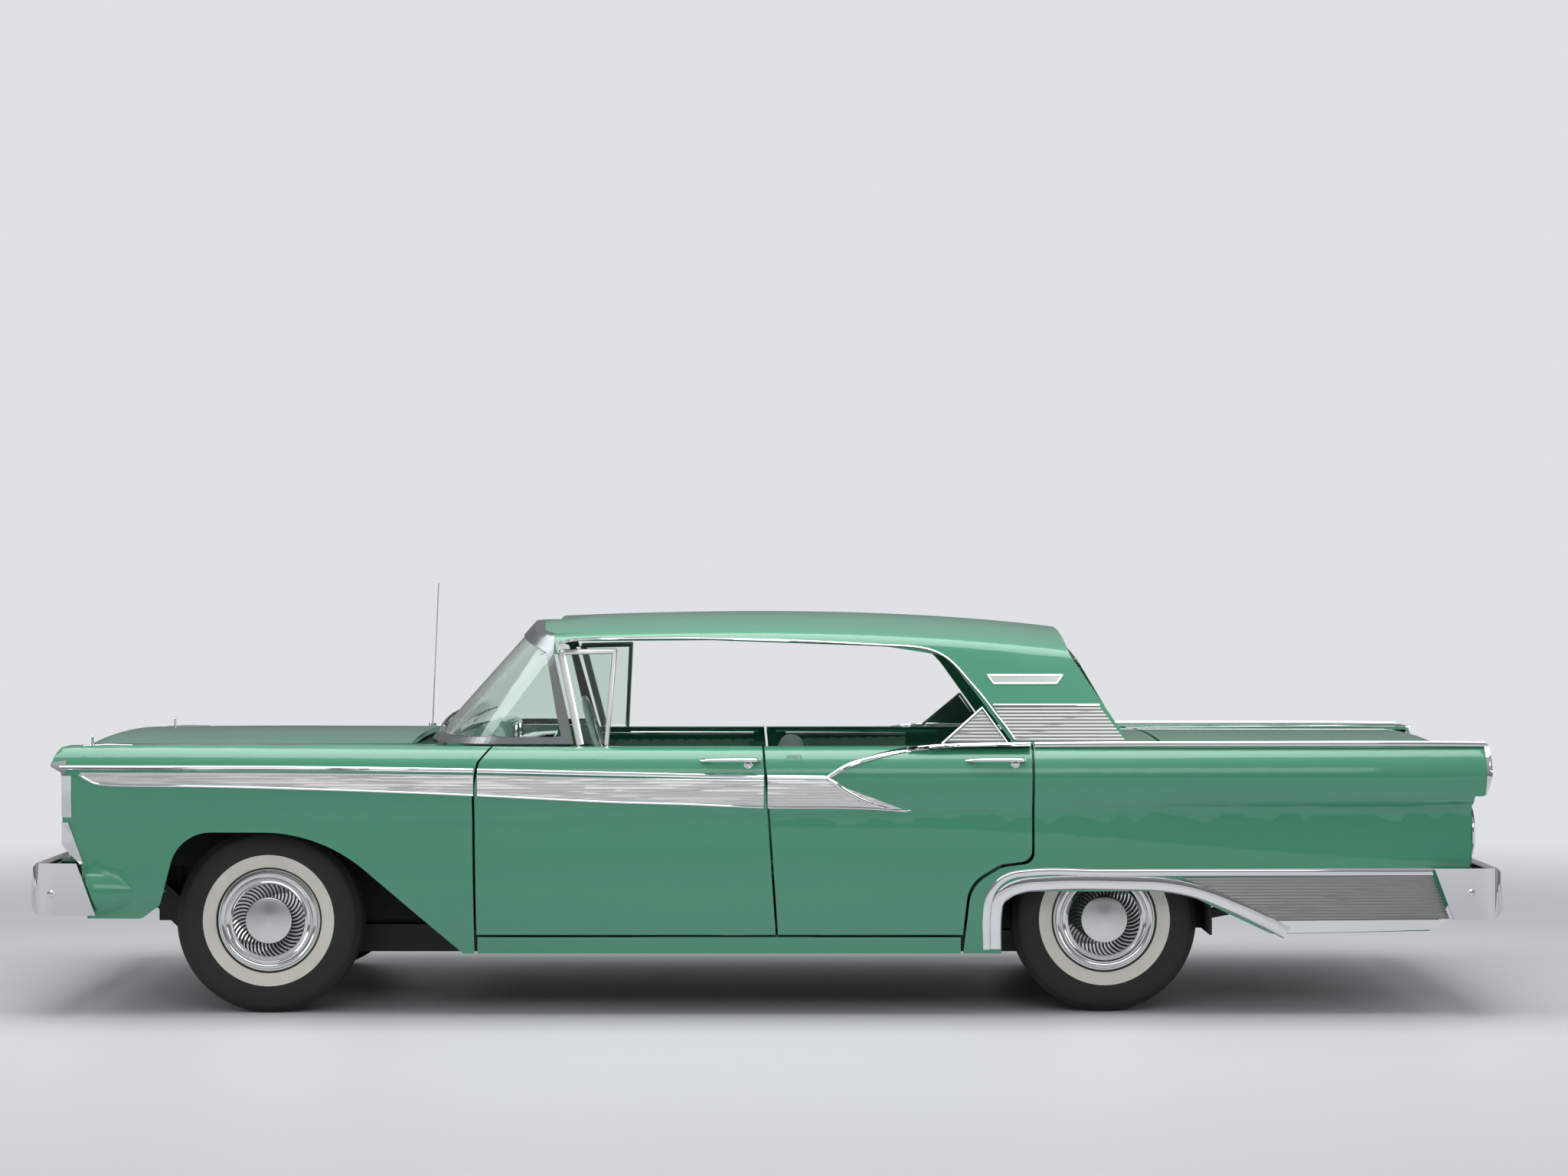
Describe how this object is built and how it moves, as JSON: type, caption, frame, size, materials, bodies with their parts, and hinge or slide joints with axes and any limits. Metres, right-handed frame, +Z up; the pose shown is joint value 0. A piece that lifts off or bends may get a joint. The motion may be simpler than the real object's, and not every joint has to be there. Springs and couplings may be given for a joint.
{
  "type": "four-door hardtop car",
  "caption": "Full-size four-door hardtop car of the 1950s with tail fins, wrap-round windshield, bright trim, opening doors, hood and trunk lid, and steered front wheels.",
  "frame": {"origin": "on the ground under the middle of the car's overall box", "axes": "+X forward along the car, +Y to the driver's left, +Z up"},
  "size_m": [5.286, 1.9462, 1.5411],
  "materials": {
    "body_paint": "gloss",
    "chrome": "polished",
    "glass": "clear",
    "red_lens": "gloss",
    "black_paint": "satin",
    "undercoat": "matte",
    "engine_paint": "satin",
    "steel": "satin",
    "tyre_rubber": "matte",
    "seat_vinyl": "satin",
    "dash_paint": "satin"
  },
  "bodies": {
    "car_body": {"antenna": "chrome", "chassis_frame": "black_paint", "cowl": "body_paint", "dashboard": "dash_paint", "engine_block": "engine_paint", "exhaust": "steel", "front_bumper": "chrome", "front_fender_left": "body_paint", "front_fender_right": "body_paint", "front_seat": "seat_vinyl", "front_suspension": "black_paint", "fuel_tank": "black_paint", "grille": "chrome", "headlamps": "chrome", "nose_panel": "body_paint", "quarter_panel_left": "body_paint", "quarter_panel_right": "body_paint", "radiator": "black_paint", "rear_axle": "black_paint", "rear_bumper": "chrome", "rear_seat": "seat_vinyl", "rear_window": "glass", "roof": "body_paint", "side_sills": "body_paint", "steering_column": "dash_paint", "tail_and_deck": "body_paint", "tail_lamps": "red_lens", "underbody": "undercoat", "windshield": "glass", "windshield_frame": "chrome"},
    "hood": {"hood": "body_paint"},
    "trunk_lid": {"trunk_lid": "body_paint"},
    "front_door_left": {"front_door_left": "body_paint"},
    "front_door_right": {"front_door_right": "body_paint"},
    "rear_door_left": {"rear_door_left": "body_paint"},
    "rear_door_right": {"rear_door_right": "body_paint"},
    "knuckle_left": {"steering_knuckle_left": "black_paint"},
    "knuckle_right": {"steering_knuckle_right": "black_paint"},
    "front_wheel_left": {"front_wheel_left": "chrome", "front_tyre_left": "tyre_rubber"},
    "front_wheel_right": {"front_wheel_right": "chrome", "front_tyre_right": "tyre_rubber"},
    "rear_wheel_left": {"rear_wheel_left": "chrome", "rear_tyre_left": "tyre_rubber"},
    "rear_wheel_right": {"rear_wheel_right": "chrome", "rear_tyre_right": "tyre_rubber"},
    "steering_wheel": {"steering_wheel": "dash_paint"}
  },
  "joints": [
    {"name": "hood_hinge", "type": "hinge", "parent": "car_body", "child": "hood", "pos_m": [1.304, 0, 0.953], "axis": [0, -1, 0], "range_deg": [0, 50]},
    {"name": "trunk_lid_hinge", "type": "hinge", "parent": "car_body", "child": "trunk_lid", "pos_m": [-1.494, 0, 0.947], "axis": [0, 1, 0], "range_deg": [0, 60]},
    {"name": "front_door_left_hinge", "type": "hinge", "parent": "car_body", "child": "front_door_left", "pos_m": [0.936, 0.944, 0.65], "axis": [0, 0, -1], "range_deg": [0, 65]},
    {"name": "front_door_right_hinge", "type": "hinge", "parent": "car_body", "child": "front_door_right", "pos_m": [0.936, -0.944, 0.65], "axis": [0, 0, 1], "range_deg": [0, 65]},
    {"name": "rear_door_left_hinge", "type": "hinge", "parent": "car_body", "child": "rear_door_left", "pos_m": [-0.112, 0.944, 0.65], "axis": [0, 0, -1], "range_deg": [0, 65]},
    {"name": "rear_door_right_hinge", "type": "hinge", "parent": "car_body", "child": "rear_door_right", "pos_m": [-0.112, -0.944, 0.65], "axis": [0, 0, 1], "range_deg": [0, 65]},
    {"name": "steer_left", "type": "hinge", "parent": "car_body", "child": "knuckle_left", "pos_m": [1.785, 0.69, 0.332], "axis": [0, 0, 1], "range_deg": [-30, 30]},
    {"name": "steer_right", "type": "hinge", "parent": "car_body", "child": "knuckle_right", "pos_m": [1.785, -0.69, 0.332], "axis": [0, 0, 1], "range_deg": [-30, 30]},
    {"name": "steering_wheel_turn", "type": "hinge", "parent": "car_body", "child": "steering_wheel", "pos_m": [0.615, 0.4, 0.918], "axis": [-0.9511, 0, 0.309], "range_deg": [-600, 600]},
    {"name": "front_wheel_left_spin", "type": "hinge", "parent": "knuckle_left", "child": "front_wheel_left", "pos_m": [1.785, 0.7495, 0.332], "axis": [0, 1, 0], "continuous": true},
    {"name": "front_wheel_right_spin", "type": "hinge", "parent": "knuckle_right", "child": "front_wheel_right", "pos_m": [1.785, -0.7495, 0.332], "axis": [0, 1, 0], "continuous": true},
    {"name": "rear_wheel_left_spin", "type": "hinge", "parent": "car_body", "child": "rear_wheel_left", "pos_m": [-1.212, 0.7165, 0.332], "axis": [0, 1, 0], "continuous": true},
    {"name": "rear_wheel_right_spin", "type": "hinge", "parent": "car_body", "child": "rear_wheel_right", "pos_m": [-1.212, -0.7165, 0.332], "axis": [0, 1, 0], "continuous": true}
  ],
  "couplings": [
    {"joint": "steer_right", "follows": "steer_left", "ratio": 1},
    {"joint": "steering_wheel_turn", "follows": "steer_left", "ratio": 20}
  ]
}
